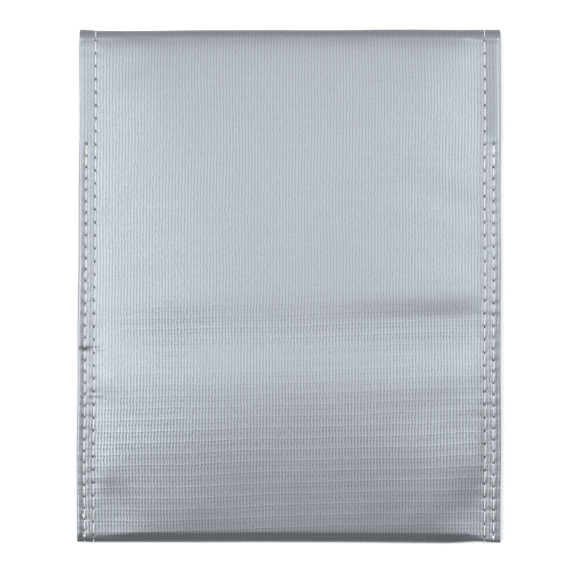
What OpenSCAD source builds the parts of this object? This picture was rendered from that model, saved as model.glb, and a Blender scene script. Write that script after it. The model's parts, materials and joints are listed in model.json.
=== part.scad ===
// Fire-resistant battery pouch, empty and closed, lying on its front.
// One long strip of coated cloth makes the front, the bottom fold, the back, the neck and the flap.
// +X is the pouch's width, +Y runs up to the flap's fold, +Z is out of the pouch's back.
// The pouch rests on z = 0, and x = 0, y = 0 is the middle of its outline.

/* [Pouch] */
// Width over both hemmed sides
bag_w = 180; // [120:1:300]
// Length from the bottom fold to the flap's fold
bag_l = 216; // [150:1:360]
// Length of the neck, from the pocket's mouth to the flap's fold
neck_l = 47.7; // [30:0.1:80]
// Length of the flap, from its fold to its free end
flap_l = 85; // [60:1:120]
// Height of the back's crown over the table
crown_h = 12.6; // [8:0.1:30]

/* [Cloth] */
// Thickness of one ply of the coated cloth
ply = 0.7; // [0.4:0.05:1.2]
// Gap between two plies that lie on each other
lay = 0.05; // [0.02:0.01:0.2]
// Width of the turned side hems
hem_w = 9; // [6:0.5:15]
// Width of the hem at the pocket's mouth
mouth_hem_w = 7; // [5:0.5:15]
// Width of the hem at the flap's free end
end_hem_w = 10; // [6:0.5:15]
// Height of the front's flat side bands over the table
band_z = 2.6; // [2.4:0.1:5]
// Length of each slope between the bands and the pocket's floor
ramp_l = 9; // [5:0.5:20]

/* [Closure] */
// Width of the hook strip
hook_w = 20; // [15:1:30]
// Width of the loop strip
loop_w = 21.5; // [15:0.5:32]
// Thickness of the hook strip
hook_t = 0.8; // [0.6:0.1:2]
// Thickness of the loop strip
loop_t = 0.7; // [0.6:0.1:2]
// Length of both strips across the pouch
strip_l = 158; // [80:1:180]

/* [Stitching] */
// Distance of the left hem's stitches from the left edge
hem_row_left = 7; // [4:0.1:8]
// Distance of the right hem's stitches from the right edge
hem_row_right = 6.9; // [4:0.1:8]
// Distance of the left side seam's stitches from the left edge
seam_row_left = 3.2; // [1.5:0.1:4]
// Distance of the right side seam's stitches from the right edge
seam_row_right = 3.1; // [1.5:0.1:4]
// Length of one hem stitch
hem_pitch = 5.5; // [3:0.1:8]
// Length of one side seam stitch
seam_pitch = 4.8; // [3:0.1:8]
// Width of the sewing thread
thread_w = 0.7; // [0.3:0.05:1.2]
// Height of a stitch over the cloth
thread_h = 0.34; // [0.2:0.02:0.8]
// Length of the doubled stitches where each side seam starts
backtack_l = 9.6; // [5:0.1:15]

// Which part is drawn: all of them, or one by its name

/* [Hidden] */
$fn = 96;

x_side = bag_w / 2;
y_top = bag_l / 2;
step = ply + lay;

// levels of the four plies in the side seams, from the front to the back
z_front = band_z;
z_front_hem = z_front + step;
z_back_hem = z_front + 2 * step;
z_back = z_front + 3 * step;
z_band = z_back + ply;

// the folds at both ends, each round about an axis along X
top_r = z_band / 2;
y_fold = y_top - top_r;
bottom_r = (z_band - z_front) / 2;
y_bottom = bottom_r - y_top;
z_bottom = (z_band + z_front) / 2;

// the rounded edge that a side hem turns over
bead_r = ply + lay / 2;
x_bead = x_side - bead_r;
x_band = x_side - hem_w;

y_mouth = y_top - neck_l;
y_flap = y_top - flap_l;
y_flap_in = y_flap + bead_r;
y_mouth_in = y_mouth - bead_r;
fold_gap = 0.15;
end_gap = 0.3;

// hook and loop strips
strip_y = y_flap + end_hem_w + 1;
z_hook = step;
z_loop = z_front - lay - loop_t;
loop_y = strip_y + (hook_w - loop_w) / 2;

// the crown of the back: one arc along the pouch, one across it
rise = crown_h - z_band;
crown_y = 92;
crown_ry = (crown_y * crown_y + rise * rise) / (2 * rise);
crown_rx = (x_band * x_band + (rise + 0.6) * (rise + 0.6)) / (2 * (rise + 0.6));

// where the front's floor starts and ends
floor_y0 = y_bottom + 2 + ramp_l;
floor_y1 = y_flap - 4 - ramp_l;

cloth_c = [0.72, 0.74, 0.77];
inner_c = [0.62, 0.64, 0.67];
thread_c = [0.93, 0.93, 0.91];
tape_c = [0.12, 0.12, 0.13];

// a drawing in the YZ plane, drawn out along X from x0 to x1
module along_x(x0, x1) {
    translate([x0, 0, 0]) rotate([90, 0, 90]) linear_extrude(x1 - x0) children();
}

// a drawing in the XZ plane, drawn out along Y from y0 to y1
module along_y(y0, y1) {
    translate([0, y1, 0]) rotate([90, 0, 0]) linear_extrude(y1 - y0) children();
}

module slab(x0, x1, y0, y1, z0, t) {
    translate([x0, y0, z0]) cube([x1 - x0, y1 - y0, t]);
}

// everything under the back's outer surface, lowered by d
module under_crown(y0, y1, d) {
    intersection() {
        along_x(-x_bead, x_bead) union() {
            translate([y0, 0]) square([y1 - y0, z_band - d]);
            intersection() {
                translate([0, crown_h - crown_ry - d]) circle(crown_ry, $fn = 720);
                translate([y0, 0]) square([y1 - y0, crown_h]);
            }
        }
        along_y(y0, y1) union() {
            translate([-x_bead, 0]) square([2 * x_bead, z_band - d]);
            intersection() {
                translate([0, crown_h + 0.6 - crown_rx - d]) circle(crown_rx, $fn = 720);
                translate([-x_bead, 0]) square([2 * x_bead, crown_h + 1]);
            }
        }
    }
}

module crown(y0, y1) {
    difference() {
        under_crown(y0, y1, 0);
        under_crown_cut(y0, y1);
    }
}

// the hollow under the back, a little longer than the back so that both ends stay open
module under_crown_cut(y0, y1) {
    intersection() {
        along_x(-x_side, x_side) union() {
            translate([y0 - 1, -1]) square([y1 - y0 + 2, z_back + 1]);
            intersection() {
                translate([0, crown_h - crown_ry - ply]) circle(crown_ry, $fn = 720);
                translate([y0 - 1, -1]) square([y1 - y0 + 2, crown_h + 1]);
            }
        }
        along_y(y0 - 1, y1 + 1) union() {
            translate([-x_side, -1]) square([2 * x_side, z_back + 1]);
            intersection() {
                translate([0, crown_h + 0.6 - crown_rx - ply]) circle(crown_rx, $fn = 720);
                translate([-x_side, -1]) square([2 * x_side, crown_h + 2]);
            }
        }
    }
}

// the height of the front's underside: along the pouch, and across it
front_long = [
    [y_bottom, z_front], [y_bottom + 2, z_front], [floor_y0, 0],
    [floor_y1, 0], [floor_y1 + ramp_l, z_front], [y_mouth_in, z_front]
];
front_wide = [
    [-x_bead, z_front], [-x_band, z_front], [-x_band + ramp_l, 0],
    [x_band - ramp_l, 0], [x_band, z_front], [x_bead, z_front]
];

function raised(line, d) = [for (p = line) [p[0], p[1] + d]];
function above(line, top) = concat(line, [[line[len(line) - 1][0], top], [line[0][0], top]]);
function longer(line, e) = [
    for (i = [0:len(line) - 1]) [line[i][0] + (i == 0 ? -e : i == len(line) - 1 ? e : 0), line[i][1]]
];

module over_front(d, e) {
    intersection() {
        along_x(-x_bead - e, x_bead + e) polygon(above(raised(longer(front_long, e), d), z_front + ply + e));
        along_y(y_bottom - e, y_mouth_in + e)
            polygon(above(raised(longer(front_wide, e), d), z_front + ply + e));
    }
}

// a side hem: the turned ply, and the rounded edge that joins it to the outer ply above or below
module side_hem(side, y0, y1, z_low, outer_is_top) {
    z_ply = outer_is_top ? z_low : z_low + step;
    color(inner_c) mirror([side < 0 ? 1 : 0, 0, 0]) along_y(y0, y1) union() {
        translate([x_band, z_ply]) square([x_bead - x_band, ply]);
        intersection() {
            translate([x_bead, z_low + bead_r]) difference() {
                circle(bead_r);
                circle(lay / 2);
            }
            translate([x_bead, z_low - 1]) square([bead_r + 1, 2 * bead_r + 2]);
        }
    }
}

// half of a round fold about an axis along X: the outer ply, and the side hems inside it
module fold_ply(x0, x1, y, z, r, side) {
    along_x(x0, x1) intersection() {
        translate([y, z]) difference() {
            circle(r);
            circle(r - ply);
        }
        translate([side > 0 ? y : y - r - 1, z - r - 1]) square([r + 1, 2 * r + 2]);
    }
}

module fold(y, z, r, side) {
    color(cloth_c) union() {
        fold_ply(-x_bead, x_bead, y, z, r, side);
        for (s = [-1, 1])
            fold_ply(min(s * x_band, s * x_bead), max(s * x_band, s * x_bead), y, z, r - ply, side);
    }
}

// one line of stitches lying on a face: low where the thread dips, flat between
function stitch(a, p, h) = [[a, h / 3], [a + 0.18 * p, h], [a + 0.82 * p, h]];
function stitches(a, b, pitch, h) = let (n = max(1, round((b - a) / pitch)), p = (b - a) / n)
    concat([[a, 0]], [for (i = [0:n - 1]) each stitch(a + i * p, p, h)], [[b, h / 3], [b, 0]]);

// stitches along Y at x, on the face at height z; down turns them over, for an underside
module row_y(x, y0, y1, z, pitch, w = thread_w, h = thread_h, down = false) {
    translate([0, 0, z]) mirror([0, 0, down ? 1 : 0]) translate([0, 0, 0.02])
        along_x(x - w / 2, x + w / 2) polygon(stitches(y0, y1, pitch, h));
}

// stitches along X at y, the same way
module row_x(y, x0, x1, z, pitch, w = thread_w, h = thread_h, down = false) {
    translate([0, 0, z]) mirror([0, 0, down ? 1 : 0]) translate([0, 0, 0.02])
        along_y(y - w / 2, y + w / 2) polygon(stitches(x0, x1, pitch, h));
}

module back_panel() { color(cloth_c) crown(y_bottom, y_mouth); }

module neck_panel() { color(cloth_c) crown(y_mouth, y_fold - fold_gap); }

module front_panel() {
    color(cloth_c) difference() {
        over_front(0, 0);
        over_front(ply, 1);
    }
}

module bottom_fold() { fold(y_bottom, z_bottom, bottom_r, -1); }

module top_fold() {
    color(cloth_c) union() {
        fold(y_fold, top_r, top_r, 1);
        for (z = [0, z_back])
            slab(-x_bead, x_bead, y_fold - fold_gap, y_fold, z, ply);
    }
}

module flap_panel() {
    color(cloth_c) slab(-x_bead, x_bead, y_flap_in, y_fold - fold_gap, 0, ply);
}

module back_hem_left() { side_hem(-1, y_bottom, y_mouth, z_back_hem, true); }
module back_hem_right() { side_hem(1, y_bottom, y_mouth, z_back_hem, true); }
module neck_hem_left() { side_hem(-1, y_mouth, y_fold - fold_gap, z_back_hem, true); }
module neck_hem_right() { side_hem(1, y_mouth, y_fold - fold_gap, z_back_hem, true); }
module front_hem_left() { side_hem(-1, y_bottom, y_mouth_in, z_front, false); }
module front_hem_right() { side_hem(1, y_bottom, y_mouth_in, z_front, false); }
module flap_hem_left() { side_hem(-1, y_flap_in, y_fold - fold_gap, 0, false); }
module flap_hem_right() { side_hem(1, y_flap_in, y_fold - fold_gap, 0, false); }

// an end of the strip, turned over a rounded edge at y: up goes towards +Y
module end_hem(y, w, z_low, up) {
    far = x_band - end_gap;
    color(inner_c) union() {
        slab(-far, far, up ? y - w : y, up ? y : y + w, z_low + step, ply);
        along_x(-x_bead, x_bead) intersection() {
            translate([y, z_low + bead_r]) difference() {
                circle(bead_r);
                circle(lay / 2);
            }
            translate([up ? y : y - 2, z_low - 1]) square([2, 4]);
        }
    }
}

// the front's upper edge, turned into the pocket
module mouth_hem() { end_hem(y_mouth_in, mouth_hem_w - bead_r, z_front, true); }

// the flap's free end, turned in
module flap_end_hem() { end_hem(y_flap_in, end_hem_w - bead_r, 0, false); }

module hook_strip() {
    color(tape_c) slab(-strip_l / 2, strip_l / 2, strip_y, strip_y + hook_w, z_hook, hook_t);
}

module loop_strip() {
    color(tape_c) slab(-strip_l / 2, strip_l / 2, loop_y, loop_y + loop_w, z_loop, loop_t);
}

// the side seams hold the front and the back together, below the mouth only
module side_seam(x) {
    color(thread_c) union() {
        row_y(x, y_bottom + 1, y_mouth - backtack_l - 0.3, z_band, seam_pitch);
        row_y(x, y_bottom + 1, y_mouth - backtack_l - 0.3, z_front, seam_pitch, down = true);
    }
}

module backtack(x) {
    color(thread_c)
        row_y(x, y_mouth - backtack_l, y_mouth, z_band, seam_pitch, 1.6 * thread_w, 1.3 * thread_h);
}

module side_seam_thread_left() { side_seam(seam_row_left - x_side); }
module side_seam_thread_right() { side_seam(x_side - seam_row_right); }
module side_seam_backtack_left() { backtack(seam_row_left - x_side); }
module side_seam_backtack_right() { backtack(x_side - seam_row_right); }

// the hems' stitches show on the whole back, and on the front's outside below the mouth
module hem_row(x) {
    color(thread_c) union() {
        row_y(x, y_bottom + 0.5, y_fold - 0.5, z_band, hem_pitch);
        row_y(x, y_bottom + 0.5, y_mouth - 0.5, z_front, hem_pitch, down = true);
    }
}

module hem_thread_left() { hem_row(hem_row_left - x_side); }
module hem_thread_right() { hem_row(x_side - hem_row_right); }

module mouth_hem_thread() {
    color(thread_c)
        row_x(y_mouth - mouth_hem_w / 2, -x_band + 1, x_band - 1, z_front, hem_pitch, down = true);
}

// stitches along both long edges of a strip
module strip_rows(y0, w, z, down) {
    color(thread_c) for (y = [y0 + 2, y0 + w - 2])
        row_x(y, 2 - strip_l / 2, strip_l / 2 - 2, z, hem_pitch, 0.6, 0.2, down);
}

module loop_strip_thread() { strip_rows(loop_y, loop_w, z_loop, true); }
module hook_strip_thread() { strip_rows(strip_y, hook_w, z_hook + hook_t, false); }

module flap_row(x) {
    color(thread_c) row_y(x, y_flap_in + 0.5, y_fold - 0.5, 2 * step - lay, hem_pitch);
}

module flap_hem_thread_left() { flap_row(hem_row_left - x_side); }
module flap_hem_thread_right() { flap_row(x_side - hem_row_right); }

module flap_end_thread() {
    color(thread_c)
        row_x(y_flap + end_hem_w - 3, -x_band + 1, x_band - 1, 2 * step - lay, hem_pitch);
}

back_panel();
neck_panel();
front_panel();
bottom_fold();
top_fold();
flap_panel();
back_hem_left();
back_hem_right();
front_hem_left();
front_hem_right();
neck_hem_left();
neck_hem_right();
flap_hem_left();
flap_hem_right();
mouth_hem();
flap_end_hem();
loop_strip();
hook_strip();
side_seam_thread_left();
side_seam_thread_right();
side_seam_backtack_left();
side_seam_backtack_right();
hem_thread_left();
hem_thread_right();
mouth_hem_thread();
loop_strip_thread();
flap_hem_thread_left();
flap_hem_thread_right();
flap_end_thread();
hook_strip_thread();
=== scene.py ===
import json
import math

import bpy
import numpy as np
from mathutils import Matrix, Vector


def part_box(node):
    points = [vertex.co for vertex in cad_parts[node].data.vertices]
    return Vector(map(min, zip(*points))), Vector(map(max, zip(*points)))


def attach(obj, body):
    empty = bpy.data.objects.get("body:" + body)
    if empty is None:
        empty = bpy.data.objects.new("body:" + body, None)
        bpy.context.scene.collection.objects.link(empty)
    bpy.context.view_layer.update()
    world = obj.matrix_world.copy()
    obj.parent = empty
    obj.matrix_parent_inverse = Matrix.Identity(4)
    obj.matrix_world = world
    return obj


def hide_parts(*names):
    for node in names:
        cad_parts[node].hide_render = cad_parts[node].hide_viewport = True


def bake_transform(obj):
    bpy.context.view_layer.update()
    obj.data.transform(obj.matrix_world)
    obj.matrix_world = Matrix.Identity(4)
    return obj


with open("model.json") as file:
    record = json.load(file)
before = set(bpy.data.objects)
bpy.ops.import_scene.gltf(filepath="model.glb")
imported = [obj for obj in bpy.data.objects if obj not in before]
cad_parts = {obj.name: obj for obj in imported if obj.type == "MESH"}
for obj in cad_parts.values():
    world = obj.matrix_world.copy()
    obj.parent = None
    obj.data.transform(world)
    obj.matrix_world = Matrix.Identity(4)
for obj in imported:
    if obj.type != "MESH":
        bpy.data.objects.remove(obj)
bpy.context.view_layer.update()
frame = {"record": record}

# ---------------------------------------------------------------- sizes, in millimetres
MM = 0.001


def box_mm(node):
    low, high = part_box(node)
    return [v / MM for v in low], [v / MM for v in high]


SIDE = box_mm("back_hem_right")[1][0]
HALF = box_mm("top_fold")[1][1]
PLY = 0.55
LAY = 0.05
BEAD = PLY + LAY / 2
Z_BAND = 5.5
Z_TOP = Z_BAND - 0.5
Z_FRONT = box_mm("front_hem_left")[0][2]
JOINT = frame["record"]["behaviour"]["joints"][0]
Y_FOLD = JOINT["pos_m"][1] / MM
Z_FOLD = JOINT["pos_m"][2] / MM
Y_MOUTH = box_mm("mouth_hem")[1][1]
Y_FLAP = box_mm("flap_end_hem")[0][1]
Y_BOTTOM = -HALF + 2.1
HEM_W = 9.0
MOUTH_HEM_W = 7.0
END_HEM_W = 10.0
# the back's side edges are rounded off over this width
ROUNDED = 1.9
# the general swell between the side seams, and how far it takes to rise
SWELL, SWELL_RUN = 7.6, 52
# the fold the pouch was packed with: the y of its valley and of its ridge
VALLEY_Y, RIDGE_Y = -16, -39
THREAD_R = 0.14
THREAD_UNDER = 0.16
# the side seam's thread: (radius, lift, wander, cut), as seam() takes them
SEAM_THREAD = (0.135, 0.02, 0.3, 0.05)
# painted shade: how much darker the cloth is drawn where it is bent; below 0 the weave fades and the cloth
# stays as light
BENT_SHADE = 0.3
FADED = -0.25
CREASE_DEPTH = 0.42
# the seams' wrinkles: how much of the simulated ones is kept, and the most they reach
WRINKLE_SHARE, WRINKLE_MOST = 0.3, 0.4
CLOTH_LIGHT, CLOTH_DARK = (0.24, 0.259, 0.28, 1), (0.132, 0.144, 0.159, 1)
CLOTH_METAL, CLOTH_ROUGH = 0.7, 0.45

HEM_ROW = {"left": -SIDE + 7.0, "right": SIDE - 6.9}
SEAM_ROW = {"left": -SIDE + 3.2, "right": SIDE - 3.1}
HEM_PITCH = 5.5
SEAM_PITCH = 4.8
BACKTACK = 9.6
SEAM_TOP = Y_MOUTH
SEAM_LOW = {"left": -HALF, "right": -HALF + 4.0}


# ---------------------------------------------------------------- shape functions
def smooth(t):
    t = np.clip(t, 0.0, 1.0)
    return t * t * (3 - 2 * t)


def hump(t):
    return np.exp(-t * t)


def waves(x, y, size, seed, count=9):
    """Soft irregular waves about size long, between about -1 and 1."""
    rng = np.random.default_rng(seed)
    total = np.zeros(np.broadcast(x, y).shape)
    for angle, length, phase in zip(
        rng.uniform(0, math.pi, count), rng.uniform(0.7, 1.6, count) * size, rng.uniform(0, 6.3, count)
    ):
        total += np.sin(2 * math.pi * (x * math.cos(angle) + y * math.sin(angle)) / length + phase)
    return total / math.sqrt(2 * count)


def middle(x):
    """1 across the middle of the pouch, 0 at its side seams."""
    return smooth((SIDE - 6 - np.abs(x)) / 26)


def rows_of(side):
    """Both rows of stitches along a side: (x, pitch, lowest y, highest y)."""
    return [
        (HEM_ROW[side], HEM_PITCH, -HALF - 2, HALF),
        (SEAM_ROW[side], SEAM_PITCH, SEAM_LOW[side], SEAM_TOP),
    ]


def edge_crease(x, y):
    """The crease between the seam and the rolled edge, from 0 to 1.

    It is deep below the mouth, where two layers are sewn.
    """
    out = SIDE - np.abs(x)
    place = np.where(x < 0, 2.05, 1.75)
    depth = 0.2 + 0.4 * smooth((SEAM_TOP + 2 - y) / 6) + 0.4 * smooth((20 - y) / 60)
    return depth * hump((out - place) / 0.62) * (0.85 + 0.15 * waves(x * 0, y, 5, 8, 5))


def low_crease(x):
    """How far over the bottom fold its sharp crease runs."""
    return 2.2 - 0.9 * smooth((-58 - x) / 25) - 1.7 * smooth((x - 74) / 12)


def pulled_in(x, y):
    """How far the stitches pull the cloth in: (groove depth, needle hole from 0 to 1)."""
    groove, hole = np.zeros(np.broadcast(x, y).shape), np.zeros(np.broadcast(x, y).shape)
    for side in ("left", "right"):
        for row, pitch, low, high in rows_of(side):
            on = smooth((y - low) / 1.5) * smooth((high - y) / 1.5 + 1)
            phase = (y - SEAM_TOP) / pitch
            near = np.abs(phase - np.round(phase)) * pitch
            seam = pitch == SEAM_PITCH
            groove = groove + on * hump((x - row) / 0.8) * (0.07 + 0.13 * hump(near / 1.0) + 0.05 * seam)
            # puckers fan out from each needle hole, wider the further away
            fan = np.abs(x - row)
            pucker = hump(near / (0.5 + 0.22 * fan)) * np.exp(-fan / 2.2)
            groove = groove + 0.07 * on * pucker * (1 + 0.6 * seam)
            hole = np.maximum(hole, on * hump(np.hypot(x - row, near) / 0.36))
    crease = edge_crease(x, y)
    return groove + CREASE_DEPTH * crease, hole


def painted_shade(x, y):
    """Painted shade: how much darker the cloth is drawn along the creased edge, on the hem above the mouth,
    where it is bent and at the lower left corner.
    """
    # painted shade in the crease between the seam and the rolled edge, speckled on the left
    speckle = 1 + 0.5 * smooth(-x) * waves(x * 2, y, 2.2, 9)
    crease = (0.4 + 0.1 * smooth(-x)) * edge_crease(x, y) * speckle
    on_hem = smooth((x - HEM_ROW["right"]) / 0.8) * smooth((SIDE - ROUNDED - x) / 0.4)
    # painted shade on the right hem band above the mouth
    tint = 0.16 * on_hem * smooth((y - SEAM_TOP) / 6)
    # painted shade on the band bent round the bottom fold
    shade = BENT_SHADE * smooth((low_crease(x) + 0.2 - (y - Y_BOTTOM)) / 0.5)
    # painted shade at the lower left corner
    corner = 0.25 * smooth((-SIDE + 2.6 - x) / 1.2) * smooth((-96 - y) / 5)
    return np.maximum(crease, tint + shade) + corner + FADED * smooth(1 - (Y_FOLD - y) / 1.5)


# ---------------------------------------------------------------- how the cloth settles
COARSE = 2.6
relief = None


def soften(field, radius):
    """field blurred with a bell radius cells wide."""
    bell = hump(np.arange(-3 * radius, 3 * radius + 1) / (1.41 * radius))
    bell /= bell.sum()
    field = np.pad(field, 3 * radius, mode="edge")
    for axis in (0, 1):
        field = np.apply_along_axis(lambda line: np.convolve(line, bell, "valid"), axis, field)
    return field


def settle(xs, ys):
    """Let the back's cloth settle over a light filling, and return its wrinkles over the coarse grid.

    The sheet is held where it is sewn or folded. It has a little spare length, so the pressure throws it into
    puckers that run in from the seams. The general swell is taken out again, and what is left is kept low.
    """
    x, y = np.meshgrid(xs, ys, indexing="ij")
    start = back_height(x, y, False)
    uneven = start + 0.02 * np.random.default_rng(5).standard_normal(start.shape)
    index = np.arange(x.size).reshape(x.shape)
    quads = np.stack([index[:-1, :-1], index[1:, :-1], index[1:, 1:], index[:-1, 1:]], -1).reshape(-1, 4)
    mesh = bpy.data.meshes.new("settling")
    mesh.from_pydata((np.stack([x, y, uneven], -1).reshape(-1, 3) * MM).tolist(), [], quads.tolist())
    obj = bpy.data.objects.new("settling", mesh)
    bpy.context.scene.collection.objects.link(obj)
    sewn = (x < HEM_ROW["left"] + 0.5) | (x > HEM_ROW["right"] - 0.5) | (y < ys[0] + 1.5) | (y > ys[-1] - 1.5)
    obj.vertex_groups.new(name="sewn").add(index[sewn].tolist(), 1.0, "REPLACE")
    modifier = obj.modifiers.new("cloth", "CLOTH")
    cloth = modifier.settings
    cloth.quality, cloth.mass, cloth.vertex_group_mass = 5, 0.3, "sewn"
    cloth.tension_stiffness = cloth.compression_stiffness = 15
    cloth.shear_stiffness, cloth.bending_stiffness = 7.5, 2
    cloth.air_damping, cloth.shrink_min = 2, -0.01
    cloth.use_pressure, cloth.uniform_pressure_force = True, 4
    cloth.effector_weights.gravity = 0
    modifier.collision_settings.use_collision = False
    modifier.point_cache.frame_end = 20
    for step in range(1, 21):
        bpy.context.scene.frame_set(step)
    shape = obj.evaluated_get(bpy.context.evaluated_depsgraph_get()).data
    places = np.empty(x.size * 3)
    shape.vertices.foreach_get("co", places)
    moved = places.reshape(*x.shape, 3)[..., 2] / MM - start
    bpy.data.objects.remove(obj)
    bpy.data.meshes.remove(mesh)
    bpy.context.scene.frame_set(1)
    wrinkles = soften(moved, 1) - soften(moved, 6)
    return WRINKLE_MOST * np.tanh(WRINKLE_SHARE * wrinkles / WRINKLE_MOST)


def settled(x, y):
    """The settled wrinkles at any place, between the coarse grid's points."""
    if relief is None:
        return 0 * (x + y)
    field, low_x, low_y, step_x, step_y = relief
    total = 0
    at_x, at_y = (x + 0 * y - low_x) / step_x, (y + 0 * x - low_y) / step_y
    cell_x, cell_y = np.floor(at_x).astype(int), np.floor(at_y).astype(int)
    for i, weight_x in enumerate(spline(at_x - cell_x)):
        for j, weight_y in enumerate(spline(at_y - cell_y)):
            column = np.clip(cell_x + i - 1, 0, field.shape[0] - 1)
            row = np.clip(cell_y + j - 1, 0, field.shape[1] - 1)
            total = total + weight_x * weight_y * field[column, row]
    return total


def spline(t):
    """Weights of the four nearest points, for a smooth curve between them."""
    return (1 - t) ** 3 / 6, (3 * t**3 - 6 * t**2 + 4) / 6, (-3 * t**3 + 3 * t**2 + 3 * t + 1) / 6, t**3 / 6


def back_height(x, y, holes=True):
    """Height of the back's outer surface over the table."""
    left, right = np.clip(x - HEM_ROW["left"], 0, None), np.clip(HEM_ROW["right"] - x, 0, None)
    below, above = np.clip(y - Y_BOTTOM, 0, None), np.clip(Y_FOLD - y, 0, None)
    near = np.minimum(left, right)
    across = (0.5 - 0.35 * smooth((y + 30) / 60)) * (1 - np.exp(-near / 4.5))
    across = across + SWELL * (1 - np.exp(-left / SWELL_RUN)) * (1 - np.exp(-right / SWELL_RUN))
    across = across + 0.9 * (1 - np.exp(-left / 14)) * smooth((-20 - y) / 60)
    across = across - 0.9 * (1 - np.exp(-left / 14)) * smooth((y + 45) / 35)
    # both lower corners stay flat for a little way before the slope starts
    corner = smooth((x - 58) / 22) + 1.0 * smooth((-56 - x) / 22)
    low_middle = np.where(x < 0, smooth((SIDE - 6 + x) / 46), middle(x))
    bottom = (1.5 + 0.7 * (1 - np.exp(-below / 4))) * low_middle
    bottom = bottom + 0.064 * below * (1 - corner * (1 - smooth((below - 8) / 28)))
    top = 1.5 * (1 - np.exp(-above / 22)) + 0.026 * above
    k = 0.45
    rise = -k * np.log(np.exp(-across / k) + np.exp(-bottom / k) + np.exp(-top / k))
    rise = rise * (1 - np.exp(-near / 1.8))
    inside = smooth(near / 8)
    # the fold the pouch was packed with: a shallow valley, then a ridge
    valley_y = VALLEY_Y + 0.03 * x
    depth = 0.35 - 0.13 * smooth(-x / 60) + 0.7 * smooth((x - 10) / 55) * (1 - 0.55 * smooth((x - 68) / 14))
    rise = rise - smooth(near / 4) * depth * hump((y - valley_y) / 8.5)
    rise = rise + 0.4 * inside * hump((y - RIDGE_Y) / 12)
    rise = rise - 0.16 * hump((y + 13.5) / 3) * smooth((x - 78) / 5)
    # the hem bands swell a little next to the top fold
    rise = rise + 0.16 * (1 - np.exp(-above / 3.2)) * np.exp(-above / 30) * (1 - smooth(near / 8))
    # creases at the left seam
    for crease in (-26, -47):
        rise = rise - 0.3 * hump((y - crease) / 0.6) * smooth((-76 - x) / 7)
    rise = rise + 0.5 * hump((y + 36.5) / 8) * hump((x + 80) / 7)
    rise = rise + inside * 0.05 * waves(x, y, 26, 3) + settled(x, y) * (0.35 + 0.75 * np.exp(-near / 26))
    # soft puckers that run in from the side seams
    rise = rise + 0.1 * waves(0.25 * x, y, 24, 5) * np.exp(-near / 14) * inside
    band = np.exp(-near / 5) + smooth((np.abs(x) - 82) / 2)
    rise = rise + 0.022 * waves(x * 0.3, y, 7, 6) * band + 0.018 * waves(x, y, 2.6, 7) * band * (y < SEAM_TOP)
    # the band between the seam and the edge, rounded off outwards
    over = np.clip(np.abs(x) - (SIDE - ROUNDED), 0, None)
    rise = rise - 0.3 * (np.sqrt(over**2 + 0.03) - 0.173)
    groove, hole = pulled_in(x, y)
    fade = 1 - np.exp(-above / 0.8)
    # it drops to both folds: softly at the top, from a sharp crease at the bottom
    drop = (Z_BAND - Z_TOP) * np.exp(-above / 2.4)
    drop = drop + (0.2 + 0.36 * middle(x)) * 0.12 * np.logaddexp(0, (low_crease(x) - (y - Y_BOTTOM)) / 0.12)
    z = Z_BAND + (rise - groove) * fade - drop
    return z - 0.35 * hole * fade if holes else z


def front_height(x, y, holes=True):
    """Height of the front's outer surface, which faces the table."""
    floor = smooth((SIDE - 8 - np.abs(x)) / 17) * smooth((y - Y_BOTTOM) / 20) * (1 - smooth((y - 4) / 15))
    z = Z_FRONT - 1.2 * middle(x) * np.exp(-np.clip(y - Y_BOTTOM, 0, None) / 8) * (1 - floor)
    z = z * (1 - floor) + 0.1 * (1 + waves(x, y, 24, 11)) * floor
    groove, hole = pulled_in(x, y)
    z = z + 0.7 * groove + 0.5 * (0.25 * hole if holes else 0)
    over = np.clip(np.abs(x) - (SIDE - 2.2), 0, None)
    return z + 0.08 * over**2


def plan(x, y):
    """Where a point of the neat rectangle really lies: the sewn outline isn't quite straight."""
    left = -SIDE + 0.2 + 0.8 * smooth((y + 100) / 150) + 0.4 * smooth((y - 0) / 100) + 0.1 * np.sin(y / 9.0)
    right = SIDE - 0.55 + 0.1 * np.sin(y / 11.0 + 1)
    out = x + (left + SIDE) * (SIDE - x) / (2 * SIDE) + (right - SIDE) * (x + SIDE) / (2 * SIDE)
    ends = 0.1 * waves(x, 0 * x, 60, 21, 5)
    up = y + ends * (smooth((y - 60) / 48) + smooth((-60 - y) / 48))
    # the lower right corner hangs a little lower and comes to a point
    up = up - (0.5 * smooth((x - 20) / 60) + 0.7 * smooth((x - 78) / 12)) * smooth((-60 - y) / 45)
    return out, up


# ---------------------------------------------------------------- meshes
def new_object(name, verts, faces, cloth=None, sharp=35):
    mesh = bpy.data.meshes.new(name)
    mesh.from_pydata((np.asarray(verts) * MM).tolist(), [], faces)
    mesh.shade_smooth()
    mesh.set_sharp_from_angle(angle=math.radians(sharp))
    if cloth is not None:
        attribute = mesh.attributes.new("cloth", "FLOAT_VECTOR", "POINT")
        attribute.data.foreach_set("vector", np.asarray(cloth, np.float32).ravel())
    obj = bpy.data.objects.new(name, mesh)
    bpy.context.scene.collection.objects.link(obj)
    return obj


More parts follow.
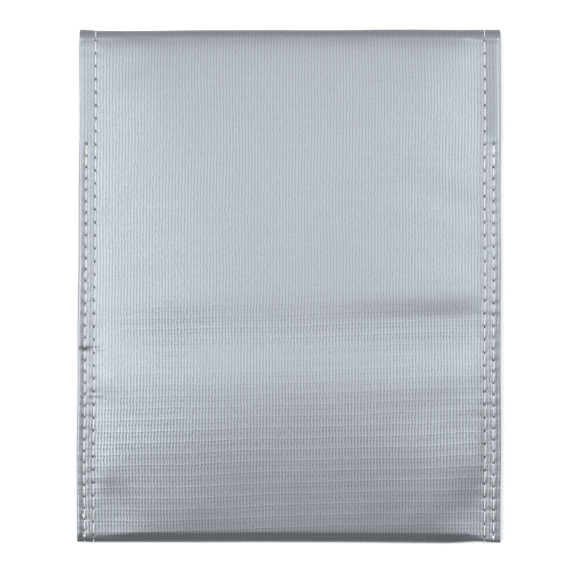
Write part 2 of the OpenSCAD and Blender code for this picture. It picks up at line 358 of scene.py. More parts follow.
def shell_data(points, ply, cloth, flip=False):
    """A sheet ply thick under a grid of outer points: (vertices, faces, cloth coordinates)."""
    across, along = np.gradient(points, axis=0), np.gradient(points, axis=1)
    normal = np.cross(across, along)
    normal /= np.linalg.norm(normal, axis=2, keepdims=True) + 1e-12
    if flip:
        normal = -normal
    m, n = points.shape[:2]
    verts = np.concatenate([points.reshape(-1, 3), (points - normal * ply).reshape(-1, 3)])
    index = np.arange(m * n).reshape(m, n)
    quads = np.stack([index[:-1, :-1], index[1:, :-1], index[1:, 1:], index[:-1, 1:]], -1).reshape(-1, 4)
    if flip:
        quads = quads[:, ::-1]
    rim = np.concatenate([index[:, 0], index[-1, 1:], index[-2::-1, -1], index[0, -2:0:-1]])
    nxt = np.roll(rim, -1)
    sides = np.stack([nxt, rim, rim + m * n, nxt + m * n], -1)
    if flip:
        sides = sides[:, ::-1]
    # the rim runs so that its faces look outwards
    faces = np.concatenate([quads, quads[:, ::-1] + m * n, sides[:, ::-1]])
    return verts, faces, np.concatenate([cloth.reshape(-1, 3)] * 2)


def join_data(parts):
    verts, faces, cloth, at = [], [], [], 0
    for v, f, c in parts:
        verts.append(v)
        faces += (f + at).tolist() if isinstance(f, np.ndarray) else [[i + at for i in q] for q in f]
        cloth.append(c)
        at += len(v)
    return np.concatenate(verts), faces, np.concatenate(cloth)


def shell(name, *grids):
    """One object of one or more sheets, each (points, ply, cloth, flip)."""
    verts, faces, cloth = join_data([shell_data(*g) for g in grids])
    return new_object(name, verts, faces, cloth)


def graded(low, high, fine, coarse, reach=11.0):
    """Places from low to high, fine apart near both ends and coarse apart in the middle."""
    out, x = [low], low
    while x < high - 1e-6:
        edge = min(x - low, high - x)
        x += fine + (coarse - fine) * float(smooth((edge - reach) / 14))
        out.append(x)
    out = np.array(out)
    return low + (out - low) * (high - low) / (out[-1] - low)


def even(low, high, step):
    return np.linspace(low, high, max(2, int(round((high - low) / step)) + 1))


def grid(xs, ys, height, along):
    """Outer points over plan coordinates, and their cloth coordinates."""
    x, y = np.meshgrid(xs, ys, indexing="ij")
    px, py = plan(x, y)
    points = np.stack([px, py, height(x, y)], -1)
    # the third cloth coordinate carries the painted shade, on the back only
    return points, np.stack([x, along(y), painted_shade(x, y) if along is along_back else 0 * x], -1)


# distances along the strip of cloth, counted from the bottom fold
TOP_ARC = math.pi * (Z_FOLD - 0.3)
BOTTOM_ARC = 8


def along_back(y):
    return y - Y_BOTTOM


def along_front(y):
    return -(y - Y_BOTTOM) - BOTTOM_ARC


def along_flap(y):
    return (Y_FOLD - Y_BOTTOM) + TOP_ARC + (Y_FOLD - y)


X_IN = SIDE - BEAD
COLUMNS = graded(-X_IN, X_IN, 0.42, 2.3)
ROWS = even(Y_BOTTOM, Y_FOLD, 0.62)

coarse_x, coarse_y = even(-X_IN, X_IN, COARSE), even(Y_BOTTOM, Y_FOLD, COARSE)
wrinkles = settle(coarse_x, coarse_y)
relief = (wrinkles, coarse_x[0], coarse_y[0], coarse_x[1] - coarse_x[0], coarse_y[1] - coarse_y[0])

back_grid, back_cloth = grid(COLUMNS, ROWS, back_height, along_back)
back = shell("back_panel", (back_grid, PLY, back_cloth, False))
front_rows = even(Y_BOTTOM, Y_MOUTH - BEAD, 0.6)
front_grid, front_cloth = grid(COLUMNS, front_rows, front_height, along_front)
front = shell("front_panel", (front_grid, PLY, front_cloth, True))

FLAP_Z = 0.05
# the flap starts this far from its fold line, which keeps it off the back when it is turned right over
FLAP_GAP = 0.45


def flap_height(x, y):
    lift = 0.12 * (1 + waves(x, y, 30, 17)) * smooth((Y_FOLD - y) / 10) * smooth((y - Y_FLAP) / 6)
    _, hole = pulled_in(x, y)
    return FLAP_Z + lift + 0.15 * hole * smooth((Y_FOLD - y) / 3)


flap_rows = even(Y_FLAP + BEAD, Y_FOLD - FLAP_GAP, 0.8)
flap_grid, flap_cloth = grid(COLUMNS, flap_rows, flap_height, along_flap)
flap = shell("flap_panel", (flap_grid, PLY, flap_cloth, True))


def fold_line(s, top, low, bulge, begun, flat=0.0):
    """A fold's outer line, (outwards, up, angle): from the upper sheet at s = 0 round to the lower at s = 1.

    begun is the angle that the fold has already turned where the upper sheet meets it. The line first bends
    gently for the length flat, then turns round in an arc.
    """
    share = 0.2 if flat else 0.0
    run = flat * np.clip(s / 0.2, 0, 1)
    t = np.clip((s - share) / (1 - share), 0, 1)
    turned = math.atan(math.tan(begun) + 0.1 * flat)
    a = turned + (math.pi - turned) * t
    if flat:
        left = (math.pi / 2 - a) / (math.pi / 2 - turned)
        upper = run + (bulge - flat) * (np.sin(a) - math.sin(turned) * left)
        out = np.where(left > 0, upper, (bulge + FLAP_GAP) * np.sin(a) - FLAP_GAP)
    else:
        out = bulge * (np.sin(a) - math.sin(turned) * (1 - t))
    dip = run * math.tan(begun) + 0.05 * run**2
    arc_top = top - flat * math.tan(begun) - 0.05 * flat**2
    z = np.where(s < share, top - dip, low + (arc_top - low) * (1 + np.cos(a)) / (1 + math.cos(turned)))
    return out, z, np.where(s < share, np.arctan(math.tan(begun) + 0.1 * run), a)


def fold_grid(xs, y_at, z_top, z_low, bulge, sign, shrink, start, turn, begun, flat=0.0, steps=24):
    """Outer points of a fold: from the upper sheet's edge round to the lower one's."""
    x, s = np.meshgrid(xs, np.linspace(0, 1, steps), indexing="ij")
    px, py = plan(x, y_at + 0 * x)
    top, low = z_top(xs)[:, None] - shrink, z_low(xs)[:, None] + shrink
    out, z, _ = fold_line(s, top, low, bulge(xs)[:, None] - shrink, begun, flat)
    return np.stack([px, py + sign * out, z], -1), np.stack([x, start + turn * s, 0 * x], -1)


FOLD_OUT = SIDE - 0.08
# the angle that each fold has already turned where the back meets it, and the top fold's gentle first part
TOP_BEGUN, LOW_BEGUN = 0.2, 0.55
TOP_FLAT = 2.4
fold_x = graded(-FOLD_OUT, FOLD_OUT, 0.42, 2.3)


def low_bulge(x):
    """How far the bottom fold bulges out: less towards the right corner."""
    return 2.7 - 1.2 * smooth((x - 66) / 18)


def top_bulge(x):
    """How far the top fold bulges out: most right of the middle and at the very left."""
    middle_part = 0.35 * smooth((74 - np.abs(x)) / 40)
    return 3.43 + middle_part + 0.45 * smooth((x - 10) / 50) + 0.5 * smooth((-SIDE + 9 - x) / 9)


def back_edge(x):
    return back_height(x, Y_BOTTOM + 0 * x)


def front_edge(x):
    return front_height(x, Y_BOTTOM + 0 * x)


def back_top(x):
    return Z_TOP + 0 * x


def flap_edge(x):
    return FLAP_Z + 0 * x


# each fold has its outer ply, and inside it the turned plies of both hems
hem_spans = [even(-X_IN, -SIDE + HEM_W, 0.8), even(SIDE - HEM_W, X_IN, 0.8)]
bottom_parts, top_parts = [], []
for shrink, spans in ((0, [fold_x]), (PLY + LAY, hem_spans)):
    for span in spans:
        p, c = fold_grid(
            span, Y_BOTTOM, back_edge, front_edge, low_bulge, -1, shrink, 0, -BOTTOM_ARC, LOW_BEGUN
        )
        # painted shade over the whole bottom fold
        c[..., 2] = BENT_SHADE
        bottom_parts.append((p, PLY, c, True))
        p, c = fold_grid(
            span, Y_FOLD, back_top, flap_edge, top_bulge, 1, shrink,
            Y_FOLD - Y_BOTTOM, TOP_ARC, TOP_BEGUN, TOP_FLAT,
        )
        c[..., 2] = FADED
        top_parts.append((p, PLY, c, False))
bottom_fold = shell("bottom_fold", *bottom_parts)
top_fold = shell("top_fold", *top_parts)


# ---------------------------------------------------------------- hems
def bead():
    """The rounded edge of a hem, from its outer ply round to the turned one: [(outwards, inwards)]."""
    return [(BEAD * math.sin(a), BEAD * (1 - math.cos(a))) for a in np.linspace(0, math.pi, 9)]


def side_hem_grid(side, ys, height, up, along):
    """The rounded edge and the turned ply of a side hem. up is 1 where the outer ply is on top."""
    sign = -1 if side == "left" else 1
    edge = [(sign * (X_IN + out), depth) for out, depth in bead()]
    flat = [(sign * x, 2 * BEAD) for x in np.linspace(X_IN - 0.8, SIDE - HEM_W, 10)]
    path = np.array(edge + flat)
    x, y = np.meshgrid(path[:, 0], ys, indexing="ij")
    px, py = plan(x, y)
    inner = np.clip(np.abs(x), 0, X_IN) * sign
    base = height(inner, y, False) if height is not flap_height else height(inner, y)
    points = np.stack([px, py, base - up * path[:, 1][:, None]], -1)
    u = sign * (X_IN + np.cumsum(np.r_[0, np.hypot(*np.diff(path, axis=0).T)]))
    return points, np.stack([u[:, None] + 0 * y, along(y), 0 * y], -1)


def side_hem(name, side, ys, height, up, along):
    points, cloth = side_hem_grid(side, ys, height, up, along)
    flip = (side == "left") == (up > 0)
    return shell(name, (points, PLY, cloth, flip))


SIDE_HEMS = (
    ("back_hem_", even(Y_BOTTOM, Y_FOLD, 0.9), back_height, 1, along_back),
    ("front_hem_", even(Y_BOTTOM, Y_MOUTH - BEAD, 0.9), front_height, -1, along_front),
    ("flap_hem_", even(Y_FLAP + BEAD, Y_FOLD - FLAP_GAP, 0.9), flap_height, -1, along_flap),
)
hems = {}
for side in ("left", "right"):
    for start, *facts in SIDE_HEMS:
        hems[start + side] = side_hem(start + side, side, *facts)


def end_hem(name, y_end, width, height, direction, along, xs_wide, xs_flat):
    """The rounded edge across an end of the strip, and the ply turned in behind it."""
    grids = []
    for xs, path in (
        (xs_wide, bead()),
        (xs_flat, [(-t, 2 * BEAD) for t in np.linspace(0, width - BEAD, 9)]),
    ):
        path = np.array(path)
        x, d = np.meshgrid(xs, path[:, 0], indexing="ij")
        y = y_end - direction * BEAD + direction * d
        px, py = plan(x, y)
        edge = y_end - direction * BEAD
        base = height(x, np.where(d > 0, edge, y))
        points = np.stack([px, py, base + path[:, 1][None, :]], -1)
        run = np.r_[0, np.cumsum(np.hypot(*np.diff(path, axis=0).T))]
        cloth = np.stack([x, along(edge) + run[None, :] + 0 * x, 0 * x], -1)
        grids.append((points, PLY, cloth, direction > 0))
    return shell(name, *grids)


wide = graded(-X_IN, X_IN, 0.6, 2.3)
narrow = even(-SIDE + HEM_W + 0.3, SIDE - HEM_W - 0.3, 2.3)
hems["mouth_hem"] = end_hem("mouth_hem", Y_MOUTH, MOUTH_HEM_W, front_height, 1, along_front, wide, narrow)
hems["flap_end_hem"] = end_hem("flap_end_hem", Y_FLAP, END_HEM_W, flap_height, -1, along_flap, wide, narrow)


# ---------------------------------------------------------------- stitches
def tube(path, radius, sides=8, flat=0.85):
    """A closed thread along path: (vertices, faces)."""
    path = np.asarray(path)
    t = np.gradient(path, axis=0)
    t /= np.linalg.norm(t, axis=1, keepdims=True) + 1e-12
    ref = np.array([1.0, 0, 0]) if abs(t[:, 0]).mean() < 0.7 else np.array([0, 1.0, 0])
    b = np.cross(t, ref)
    b /= np.linalg.norm(b, axis=1, keepdims=True)
    w = np.cross(b, t)
    a = np.linspace(0, 2 * math.pi, sides, endpoint=False)
    r = np.broadcast_to(np.asarray(radius, float), (len(path),))[:, None, None]
    cosine, sine = np.cos(a)[None, :, None], np.sin(a)[None, :, None]
    ring = path[:, None] + r * (w[:, None] * cosine + flat * b[:, None] * sine)
    m = len(path)
    verts = ring.reshape(-1, 3)
    faces = []
    for i in range(m - 1):
        for j in range(sides):
            k = (j + 1) % sides
            faces.append([i * sides + j, i * sides + k, (i + 1) * sides + k, (i + 1) * sides + j])
    faces.append(list(range(sides))[::-1])
    faces.append([(m - 1) * sides + j for j in range(sides)])
    return verts, faces


def seam(place, start, stop, pitch, phase, rng, radius=THREAD_R, lift=0.04, wander=0.1, cut=0.055):
    """Stitches along place(t) -> (points, outward normals, sideways), from start to stop."""
    parts = []
    first, last = math.ceil((start - phase) / pitch - 0.35), math.floor((stop - phase) / pitch + 0.35)
    for k in range(first, last):
        t0, t1 = max(start, phase + k * pitch), min(stop, phase + (k + 1) * pitch)
        if t1 - t0 < 0.3 * pitch:
            continue
        s = np.linspace(0, 1, 13)
        at, normal, across = place(t0 + (t1 - t0) * (cut + (1 - 2 * cut) * s))
        bow = (lift + rng.uniform(-0.03, 0.05)) + radius * 0.75
        height = bow * (1 - np.abs(2 * s - 1) ** 4) - 0.34 * (np.abs(2 * s - 1) ** 9)
        slant = rng.uniform(-wander, wander) + 0.1
        shift = slant * (s - 0.5) + rng.uniform(-0.05, 0.05)
        path = at + normal * height[:, None] + across * shift[:, None]
        swell = radius * (1 - 0.28 * np.abs(2 * s - 1) ** 6) * (1 + 0.05 * np.sin(9 * s + k))
        parts.append(tube(path, swell))
    return parts


def along_line(fn):
    """place() for a line given as fn(t) -> (x, y, z, normal)."""

    def place(t):
        e = 0.05
        at, nxt = fn(t), fn(t + e)
        tangent = nxt[0] - at[0]
        tangent /= np.linalg.norm(tangent, axis=1, keepdims=True) + 1e-12
        normal = at[1]
        return at[0], normal, np.cross(tangent, normal)

    return place


def on_surface(x_row, z_of, up):
    """place() for a row up the pouch, on the surface z_of."""

    def fn(y):
        x = x_row + 0 * y
        return np.stack([*plan(x, y), z_of(x, y)], -1), np.tile([0, 0, float(up)], (len(y), 1))

    return along_line(fn)


def back_plain(x, y):
    return back_height(x, y, False)


def front_plain(x, y):
    return front_height(x, y, False)


def flap_inner(x, y):
    return flap_height(x, y) + 2 * PLY + LAY


def on_back(x_row):
    return on_surface(x_row, back_plain, 1)


def on_front(x_row):
    return on_surface(x_row, front_plain, -1)


def on_fold(x_row, y_at, top, low, bulge, sign, begun, flat=0.0):
    """A line round a fold, by the angle's arc from 0 to its whole length."""

    def fn(t):
        x = x_row + 0 * t
        px, py = plan(x, y_at + 0 * t)
        out, z, a = fold_line(t / (math.pi * (top - low) / 2), top, low, bulge(x_row), begun, flat)
        at = np.stack([px, py + sign * out, z], -1)
        normal = np.stack([0 * a, sign * np.sin(a), np.cos(a)], -1)
        return at, normal

    return along_line(fn)


def flat_row(y_row, z_of, up):
    """place() for a straight row across the pouch, on the surface z_of."""
    def fn(t):
        px, py = plan(t, y_row + 0 * t)
        return np.stack([px, py, z_of(t, y_row + 0 * t)], -1), np.tile([0, 0, float(up)], (len(t), 1))

    return along_line(fn)


def knot(x, y, size):
    """A small overhand knot that lies on the back."""
    t = np.linspace(0, 2 * math.pi, 40)
    px, py = plan(np.array([x]), np.array([y]))
    z = back_height(np.array([x]), np.array([y]), False)
    wide = px + size * (np.sin(t) + 1.1 * np.sin(2 * t)) * 0.55
    long = py + size * (np.cos(t) - 1.1 * np.cos(2 * t)) * 0.8
    return [tube(np.stack([wide, long, z + 0.32 + 0.2 * size * -np.sin(3 * t)], -1), 0.15)]


def thread_object(name, parts):
    verts, faces, at = [], [], 0
    for v, f in parts:
        verts.append(v)
        faces += [[i + at for i in q] for q in f]
        at += len(v)
    return new_object(name, np.concatenate(verts), faces, sharp=80)


threads = {}
for side in ("left", "right"):
    rng = np.random.default_rng(31 if side == "left" else 32)
    hem_x, seam_x = HEM_ROW[side], SEAM_ROW[side]
    z_low = float(front_height(np.array([hem_x]), np.array([Y_BOTTOM]), False)[0])
    z_high = float(back_height(np.array([hem_x]), np.array([Y_BOTTOM]), False)[0])
    round_bottom = on_fold(hem_x, Y_BOTTOM, z_high, z_low, low_bulge, -1, LOW_BEGUN)
    threads["hem_thread_" + side] = thread_object(
        "hem_thread_" + side,
        seam(on_back(hem_x), Y_BOTTOM + 0.4, Y_FOLD - 0.4, HEM_PITCH, SEAM_TOP, rng)
        + seam(on_front(hem_x), Y_BOTTOM + 1, Y_MOUTH - 0.5, HEM_PITCH, SEAM_TOP, rng)
        + seam(round_bottom, 0, math.pi * (z_high - z_low) / 2, 4.4, 0, rng),
    )
    low = max(SEAM_LOW[side] + 0.3, Y_BOTTOM + 0.3)
    if side == "right":
        tail = knot(seam_x - 0.1, low - 0.9, 0.42)
    else:
        tail = knot(seam_x - 0.3, low + 9.0, 0.5) + knot(seam_x + 0.1, low + 0.6, 0.36)
        end = on_fold(seam_x + 0.1, Y_BOTTOM, z_high, z_low, low_bulge, -1, LOW_BEGUN)
        tail += seam(end, 0.4, 3.6, 4.0, 0, rng)
    threads["side_seam_thread_" + side] = thread_object(
        "side_seam_thread_" + side,
        seam(on_back(seam_x), low, SEAM_TOP - BACKTACK, SEAM_PITCH, SEAM_TOP, rng, *SEAM_THREAD)
        + seam(on_front(seam_x), low, SEAM_TOP - 0.5, SEAM_PITCH, SEAM_TOP, rng, *SEAM_THREAD)
        + tail,
    )
    doubled = []
    for shift, lift in ((-0.2, 0.06), (0.2, 0.12)):
        doubled += seam(
            on_back(seam_x + shift), SEAM_TOP - BACKTACK, SEAM_TOP + 0.4, SEAM_PITCH, SEAM_TOP + shift, rng,
            THREAD_R, lift, 0.45,
        )
    threads["side_seam_backtack_" + side] = thread_object("side_seam_backtack_" + side, doubled)
    round_top = on_fold(hem_x, Y_FOLD, Z_TOP, FLAP_Z, top_bulge, 1, TOP_BEGUN, TOP_FLAT)
    threads["top_fold_thread_" + side] = thread_object(
        "top_fold_thread_" + side, seam(round_top, 0, math.pi * (Z_TOP - FLAP_Z) / 2, 4.3, 0, rng)
    )
    flap_run = (Y_FLAP + 1, Y_FOLD - 0.6, HEM_PITCH, SEAM_TOP, rng)
    threads["flap_hem_thread_" + side] = thread_object(
        "flap_hem_thread_" + side,
        seam(on_surface(hem_x, flap_inner, 1), *flap_run, lift=0.05)
        + seam(on_surface(hem_x, flap_height, -1), *flap_run, radius=THREAD_UNDER, lift=0.0),
    )

rng = np.random.default_rng(40)
reach = SIDE - HEM_W - 1
across_run = (-reach, reach, HEM_PITCH, 0, rng)
y_mouth_row, y_end_row = Y_MOUTH - MOUTH_HEM_W / 2, Y_FLAP + END_HEM_W - 3
threads["mouth_hem_thread"] = thread_object(
    "mouth_hem_thread", seam(flat_row(y_mouth_row, front_plain, -1), *across_run)
)
threads["flap_end_thread"] = thread_object(
    "flap_end_thread",
    seam(flat_row(y_end_row, flap_inner, 1), *across_run, lift=0.05)
    + seam(flat_row(y_end_row, flap_height, -1), *across_run, radius=THREAD_UNDER, lift=0.0),
)

# ---------------------------------------------------------------- hook and loop strips
(hx0, hy0, hz0), (hx1, hy1, hz1) = box_mm("hook_strip")
(lx0, ly0, lz0), (lx1, ly1, lz1) = box_mm("loop_strip")
TAPE = 0.45
LOOP_COUNT = 2600


def tape_data(x0, x1, y0, y1, z, up):
    """A woven tape with soft edges, its face at z and its back TAPE behind it."""
    xs, ys = even(x0, x1, 2.0), even(y0, y1, 0.8)
    x, y = np.meshgrid(xs, ys, indexing="ij")
    edge = np.minimum(y - y0, y1 - y)
    drop = 0.12 * hump(edge / 0.6)
    points = np.stack([x, y, z - up * drop], -1)
    return points, TAPE, np.stack([x, y, 0 * x], -1), up < 0


def hooks(x0, x1, y0, y1, z, up):
    """Rows of small hooks that stand on the tape."""
    parts = []
    s = np.linspace(0, 1, 6)
    for i, y in enumerate(np.arange(y0 + 2.9, y1 - 2.7, 1.25)):
        lean = 1 if i % 2 else -1
        for x in np.arange(x0 + 2.2 + 0.8 * (i % 2), x1 - 2, 1.6):
            a = s * math.pi * 1.15
            tall = np.where(s < 0.5, 0.62 * s / 0.5, 0.62 - 0.3 * (s - 0.5) / 0.5)
            path = np.stack([x + lean * 0.2 * (1 - np.cos(a)), y + 0 * s, z + up * tall], -1)
            parts.append(tube(path, 0.085, 4, 1.0))
    return parts


def loops(x0, x1, y0, y1, z, up, rng):
    """A tangle of fine soft loops."""
    parts = []
    s = np.linspace(0, 1, 6)
    for _ in range(LOOP_COUNT):
        x, y = rng.uniform(x0 + 2, x1 - 2), rng.uniform(y0 + 2.6, y1 - 2.6)
        turn, size = rng.uniform(0, 2 * math.pi), rng.uniform(0.5, 1.0)
        a = s * math.pi
        along = -size * np.cos(a)
        tall = 0.03 + 0.34 * size * np.sin(a)
        path = np.stack([x + along * math.cos(turn), y + along * math.sin(turn), z + up * tall], -1)
        parts.append(tube(path, 0.07, 3, 1.0))
    return parts


def tape_object(name, grid_part, pile):
    v, f, c = shell_data(*grid_part)
    verts, faces, at = [v], f.tolist(), len(v)
    for pv, pf in pile:
        verts.append(pv)
        faces += [[i + at for i in q] for q in pf]
        at += len(pv)
    return new_object(name, np.concatenate(verts), faces, sharp=60)


# each strip's place, as (x0, x1, y0, y1, z of its face, which way it faces)
HOOK_AT = (hx0, hx1, hy0, hy1, hz0 + TAPE + 0.12, 1)
LOOP_AT = (lx0, lx1, ly0, ly1, lz1 - TAPE - 0.02, -1)
hook = tape_object("hook_strip", tape_data(*HOOK_AT), hooks(*HOOK_AT))
loop = tape_object("loop_strip", tape_data(*LOOP_AT), loops(*LOOP_AT, rng))


def on_tape(y_row, z, up):
    """place() for a straight row on a flat tape."""

    def fn(t):
        return np.stack([t, y_row + 0 * t, z + 0 * t], -1), np.tile([0, 0, float(up)], (len(t), 1))

    return along_line(fn)


def strip_thread(name, x0, x1, y0, y1, z, up):
    parts = []
    for y in (y0 + 1.7, y1 - 1.7):
        parts += seam(on_tape(y, z, up), x0 + 2, x1 - 2, 3.6, 0, rng, 0.2, 0.03, 0.05)
    return thread_object(name, parts)


threads["hook_strip_thread"] = strip_thread("hook_strip_thread", *HOOK_AT)
threads["loop_strip_thread"] = strip_thread("loop_strip_thread", *LOOP_AT)


# ---------------------------------------------------------------- materials
class Nodes:
    """Shorthand for building a material's nodes."""

    def __init__(self, name):
        self.material = bpy.data.materials.new(name)
        self.material.use_nodes = True
        self.tree = self.material.node_tree
        self.shader = self.tree.nodes["Principled BSDF"]

    def add(self, kind, **values):
        node = self.tree.nodes.new(kind)
        for key, value in values.items():
            setattr(node, key, value)
        return node

    def plug(self, socket, value):
        if hasattr(value, "is_linked") or hasattr(value, "links"):
            self.tree.links.new(value, socket)
        else:
            socket.default_value = value

    def math(self, operation, a, b=0.0, c=0.0):
        node = self.add("ShaderNodeMath", operation=operation)
        for socket, value in zip(node.inputs, (a, b, c)):
            self.plug(socket, value)
        return node.outputs[0]

    def between(self, value, low=0.0, high=1.0):
        return self.math("MINIMUM", self.math("MAXIMUM", value, low), high)

    def set(self, **values):
        for key, value in values.items():
            self.plug(self.shader.inputs[key.replace("_", " ")], value)

    def noise(self, vector, scale, detail=3.0, rough=0.5):
        node = self.add("ShaderNodeTexNoise")
        self.plug(node.inputs["Vector"], vector)
        node.inputs["Scale"].default_value = scale
        node.inputs["Detail"].default_value = detail
        node.inputs["Roughness"].default_value = rough
        return node.outputs[0]

    def ramp(self, value, *stops):
        node = self.add("ShaderNodeValToRGB")
        self.plug(node.inputs[0], value)
        ramp = node.color_ramp
        while len(ramp.elements) < len(stops):
            ramp.elements.new(0.5)
        for element, (place, colour) in zip(ramp.elements, stops):
            element.position = place
            element.color = (*colour, 1.0)
        return node.outputs[0]

    def mix(self, factor, a, b, blend="MIX"):
        node = self.add("ShaderNodeMix", data_type="RGBA", blend_type=blend)
        self.plug(node.inputs[0], factor)
        self.plug(node.inputs[6], a)
        self.plug(node.inputs[7], b)
        return node.outputs[2]

    def bump(self, height, strength, distance):
        node = self.add("ShaderNodeBump")
        node.inputs["Strength"].default_value = strength
        node.inputs["Distance"].default_value = distance
        self.plug(node.inputs["Height"], height)
        self.plug(self.shader.inputs["Normal"], node.outputs[0])


# how far apart the weave's ribs and rows are, and how light one row is from its start to its end
RIB, ROW = 1.34, 4.73
ROW_PROFILE = (
    (0.0, 0.1), (0.05, 0.3), (0.1, 0.48), (0.42, 0.46), (0.5, 0.95), (0.58, 0.46),
    (0.8, 0.5), (0.88, 0.98), (0.94, 0.43), (1.0, 0.1),
)


def cloth_material():
    m = Nodes("coated_glass_cloth")
    attribute = m.add("ShaderNodeAttribute", attribute_name="cloth")
    split = m.add("ShaderNodeSeparateXYZ")
    m.plug(split.inputs[0], attribute.outputs["Vector"])
    # dark, the attribute's third channel, is the painted shade drawn on the meshes
    u, v, dark = split.outputs
    place = m.add("ShaderNodeCombineXYZ")
    m.plug(place.inputs[0], u)
    m.plug(place.inputs[1], v)
    at = place.outputs[0]

    def centred(value, span):
        return m.math("MULTIPLY", m.math("SUBTRACT", value, 0.5), span)

    # the rows run almost straight, rising slightly from left to right
    level_v = m.math("SUBTRACT", v, m.math("MULTIPLY", u, 0.029))
    v2 = m.math("ADD", level_v, centred(m.noise(at, 0.02, 1), 2.6))
    v3 = m.math("ADD", v2, centred(m.noise(at, 0.5, 1), 0.5))
    # the ribs wander a little and step sideways from row to row
    step = centred(m.math("PINGPONG", m.math("DIVIDE", v3, ROW / 2), 1.0), 0.17)
    wander = m.math("ADD", centred(m.noise(at, 0.02, 1), 2.0), centred(m.noise(at, 0.3, 2, 0.7), 0.75))
    u2 = m.math("ADD", u, wander)
    u3 = m.math("ADD", step, u2)
    rib = m.math("MULTIPLY_ADD", m.math("SINE", m.math("MULTIPLY", u3, 2 * math.pi / RIB)), 0.5, 0.5)
    # one row: a light line, dark where the yarns dive just below it, and dark again half way
    lean = m.math("MULTIPLY", m.math("COSINE", m.math("MULTIPLY", u3, 2 * math.pi / RIB)), 0.16)
    row = m.math("FRACT", m.math("DIVIDE", m.math("ADD", v3, lean), ROW))
    profile = m.ramp(row, *[(place, (level, level, level)) for place, level in ROW_PROFILE])
    # the weave's contrast, its own pattern together with painted shade between its ribs, is drawn stronger
    # towards the bottom and along the packing fold's valley, and weaker at the left
    drift = centred(m.noise(at, 0.012, 1), 1.2)
    low_part = m.math("MULTIPLY_ADD", v, -0.022, 1.95)
    from_fold = m.math("ABSOLUTE", m.math("SUBTRACT", v, 89.0))
    fold_part = m.math("SUBTRACT", 0.75, m.math("MULTIPLY", from_fold, 0.045))
    left_part = m.math("MULTIPLY", m.between(m.math("MULTIPLY_ADD", u, -0.033, -1.7)), 0.5)
    wanted = m.math("SUBTRACT", m.math("ADD", m.math("MAXIMUM", low_part, fold_part), drift), left_part)
    speckle = m.noise(at, 1.1, 2)
    rib_contrast = m.math("MULTIPLY", m.between(wanted, 0.15), m.math("MULTIPLY_ADD", speckle, 1.1, 0.5))
    level = m.math("MULTIPLY_ADD", m.math("SUBTRACT", profile, 0.5), rib_contrast, 0.5)
    depth = m.math("MULTIPLY_ADD", rib_contrast, 0.95, 0.95)
    # darker between the ribs: the weave's own pattern together with painted shade
    between_ribs = m.math("POWER", m.math("SUBTRACT", 1.0, rib), 1.3)
    gap = m.math("MULTIPLY", m.math("MULTIPLY", between_ribs, depth), level)
    across = m.math("MULTIPLY", m.math("SUBTRACT", level, 0.5), 0.2)
    mottle = m.noise(at, 0.8, 4, 0.65)
    # the weave shows less where the cloth is bent
    shown = m.math("SUBTRACT", 1.0, m.math("MINIMUM", m.math("MULTIPLY", m.math("ABSOLUTE", dark), 2.3), 0.8))
    tone = m.math("MULTIPLY_ADD", m.math("ADD", gap, across), shown, centred(mottle, 0.55))
    tone = m.math("MULTIPLY_ADD", m.math("SUBTRACT", 1.0, shown), 0.45, tone)
    colour = m.mix(tone, CLOTH_LIGHT, CLOTH_DARK)
    # painted shade: the colour is pulled towards near black by the dark channel
    colour = m.mix(m.math("MULTIPLY", dark, 0.92), colour, (0.02, 0.021, 0.023, 1))
    # painted shade: dark dots in the needle holes along both rows of stitches on the back
    out = m.math("ABSOLUTE", m.math("SUBTRACT", u, (HEM_ROW["left"] + HEM_ROW["right"]) / 2))
    for row_x, pitch, last in (
        (HEM_ROW["right"], HEM_PITCH, Y_FOLD), (SEAM_ROW["right"], SEAM_PITCH, SEAM_TOP + 0.5)
    ):
        from_row = m.math("SUBTRACT", out, row_x - (HEM_ROW["left"] + HEM_ROW["right"]) / 2)
        run = m.math("FRACT", m.math("MULTIPLY_ADD", v, 1 / pitch, 0.5 - (SEAM_TOP - Y_BOTTOM) / pitch))
        from_hole = m.math("MULTIPLY", m.math("SUBTRACT", run, 0.5), pitch * 0.75)
        far = m.math("SQRT", m.math("ADD", m.math("POWER", from_row, 2.0), m.math("POWER", from_hole, 2.0)))
        inside = m.between(m.math("MULTIPLY_ADD", far, -8.0, 3.3))
        inside = m.math("MULTIPLY", inside, m.math("LESS_THAN", v, last - Y_BOTTOM))
        inside = m.math("MULTIPLY", inside, m.math("GREATER_THAN", v, 0.5))
        colour = m.mix(m.math("MULTIPLY", inside, 0.9), colour, (0.012, 0.013, 0.014, 1))
    m.set(Base_Color=colour, Metallic=CLOTH_METAL, Specular_IOR_Level=0.5)
    rough = m.math("MULTIPLY_ADD", mottle, 0.12, CLOTH_ROUGH - 0.06)
    m.set(Roughness=m.math("MULTIPLY_ADD", gap, 0.08, rough))
    fine = m.noise(at, 3.2, 3)
    height = m.math("ADD", m.math("MULTIPLY", gap, -1.0), m.math("MULTIPLY", fine, 0.3))
    m.bump(m.math("SUBTRACT", height, m.math("MULTIPLY", across, 0.6)), 0.3, 0.00016)
    return m.material


def thread_material():
    m = Nodes("white_sewing_thread")
    at = m.add("ShaderNodeTexCoord").outputs["Object"]
    wave = m.add("ShaderNodeTexWave", bands_direction="DIAGONAL")
    m.plug(wave.inputs["Vector"], at)
    wave.inputs["Scale"].default_value = 900
    wave.inputs["Distortion"].default_value = 1.5
    fluff = m.noise(at, 2500, 3)
    tone = m.math("MULTIPLY_ADD", wave.outputs[1], 0.5, m.math("MULTIPLY", fluff, 0.5))
    m.set(Base_Color=m.mix(tone, (0.6, 0.61, 0.6, 1), (0.8, 0.81, 0.79, 1)), Roughness=0.62)
    m.set(Sheen_Weight=0.25, Sheen_Roughness=0.5)
    m.bump(tone, 0.5, 0.00012)
    return m.material


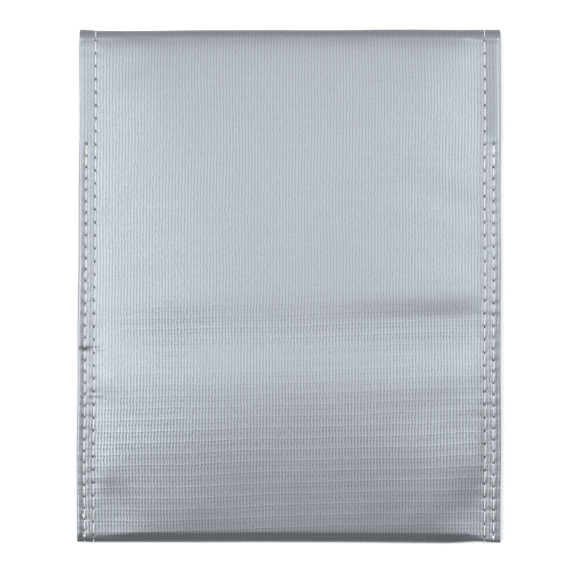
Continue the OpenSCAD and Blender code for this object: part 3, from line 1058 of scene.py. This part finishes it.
def tape_material(name, base, pile, scale):
    m = Nodes(name)
    at = m.add("ShaderNodeTexCoord").outputs["Object"]
    checks = m.add("ShaderNodeTexWave")
    m.plug(checks.inputs["Vector"], at)
    checks.inputs["Scale"].default_value = scale
    checks.inputs["Distortion"].default_value = 0.8
    grain = m.noise(at, 1800, 4)
    tone = m.math("MULTIPLY_ADD", checks.outputs[1], 0.5, m.math("MULTIPLY", grain, 0.6))
    m.set(Base_Color=m.mix(tone, (*base, 1), (*pile, 1)), Roughness=0.8)
    m.set(Sheen_Weight=0.3, Sheen_Roughness=0.4)
    m.bump(tone, 0.6, 0.0002)
    return m.material


CLOTH = cloth_material()
THREAD = thread_material()
HOOKS = tape_material("black_hook_tape", (0.012, 0.012, 0.013), (0.035, 0.035, 0.037), 420)
LOOPS = tape_material("black_loop_tape", (0.018, 0.018, 0.019), (0.05, 0.05, 0.052), 300)

# ---------------------------------------------------------------- bodies, nodes and slots
pouch_pieces = {
    back: ["back_panel", "neck_panel"],
    front: ["front_panel"],
    bottom_fold: ["bottom_fold"],
    loop: ["loop_strip"],
}
flap_pieces = {flap: ["flap_panel"], hook: ["hook_strip"]}
for name, obj in hems.items():
    nodes = [name, name.replace("back", "neck")] if name.startswith("back") else [name]
    (flap_pieces if name.startswith("flap") else pouch_pieces)[obj] = nodes
for name, obj in threads.items():
    if name.startswith("top_fold"):
        continue
    (flap_pieces if name.startswith(("flap", "hook")) else pouch_pieces)[obj] = [name]

for pieces, body in ((pouch_pieces, "pouch"), (flap_pieces, "flap")):
    for obj, nodes in pieces.items():
        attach(obj, body)
        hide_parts(*nodes)

top_start, top_end = (0, Y_FOLD * MM, Z_TOP * MM), (0, Y_FOLD * MM, FLAP_Z * MM)
for obj in (top_fold, threads["top_fold_thread_left"], threads["top_fold_thread_right"]):
    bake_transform(obj)
    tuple(top_start)
    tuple(top_end)
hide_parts("top_fold")

for obj in [back, front, flap, bottom_fold, top_fold, *hems.values()]:
    obj.data.materials.append(CLOTH)
for obj in threads.values():
    obj.data.materials.append(THREAD)
hook.data.materials.append(HOOKS)
loop.data.materials.append(LOOPS)

# ---------------------------------------------------------------- floor, light and camera
bpy.ops.mesh.primitive_plane_add(size=6, location=(0, 0, -0.0003))
floor = bpy.context.object
floor.name = "floor"
paper = Nodes("white_paper")
spot = paper.add("ShaderNodeTexCoord").outputs["Object"]
paper_tone = paper.mix(paper.noise(spot, 40, 3), (0.86, 0.86, 0.86, 1), (0.9, 0.9, 0.9, 1))
paper.set(Base_Color=paper_tone, Roughness=0.9)
floor.data.materials.append(paper.material)

world = bpy.data.worlds.new("studio")
bpy.context.scene.world = world
world.use_nodes = True
world.node_tree.nodes["Background"].inputs[0].default_value = (0.98, 0.99, 1.0, 1)
world.node_tree.nodes["Background"].inputs[1].default_value = 0.18


def softbox(name, place, size, power, colour=(1, 1, 1)):
    lamp = bpy.data.lights.new(name, "AREA")
    lamp.shape = "RECTANGLE"
    lamp.size, lamp.size_y = size
    lamp.energy = power
    lamp.color = colour
    obj = bpy.data.objects.new(name, lamp)
    bpy.context.scene.collection.objects.link(obj)
    obj.location = place
    obj.rotation_mode = "QUATERNION"
    obj.rotation_quaternion = (-Vector(place)).to_track_quat("-Z", "Y")
    return obj


softbox("key_left", (-0.8, 0.0, 1.15), (0.6, 1.0), 15.3)
softbox("fill_right", (0.8, 0.18, 1.15), (0.6, 1.0), 12.6)
softbox("top_light", (0, 0.25, 1.7), (1.1, 0.9), 8.5)
softbox("back_light", (0, 0.85, 1.2), (1.1, 0.4), 2.2)
for name, x, y, power in (("low_left", -1.3, 0, 3), ("low_right", 1.3, 0, 3), ("low_back", 0, 1.3, 1.6)):
    lamp = softbox(name, (x, y, 0.42), (1.2, 0.4), power)
    lamp.visible_camera = False

camera_data = bpy.data.cameras.new("camera")
camera_data.lens = 150
camera_data.sensor_width = 36
camera_data.clip_start, camera_data.clip_end = 0.05, 20
# the picture shows this width at this height over the floor
FRAME_W = 242.9 * MM
camera = bpy.data.objects.new("camera", camera_data)
bpy.context.scene.collection.objects.link(camera)
FOCUS_Z = 0.007
camera_height = FOCUS_Z + FRAME_W * camera_data.lens / camera_data.sensor_width
camera.location = (-0.53 * MM, -0.35 * MM, camera_height)
bpy.context.scene.camera = camera
bpy.context.scene.view_settings.view_transform = "Standard"
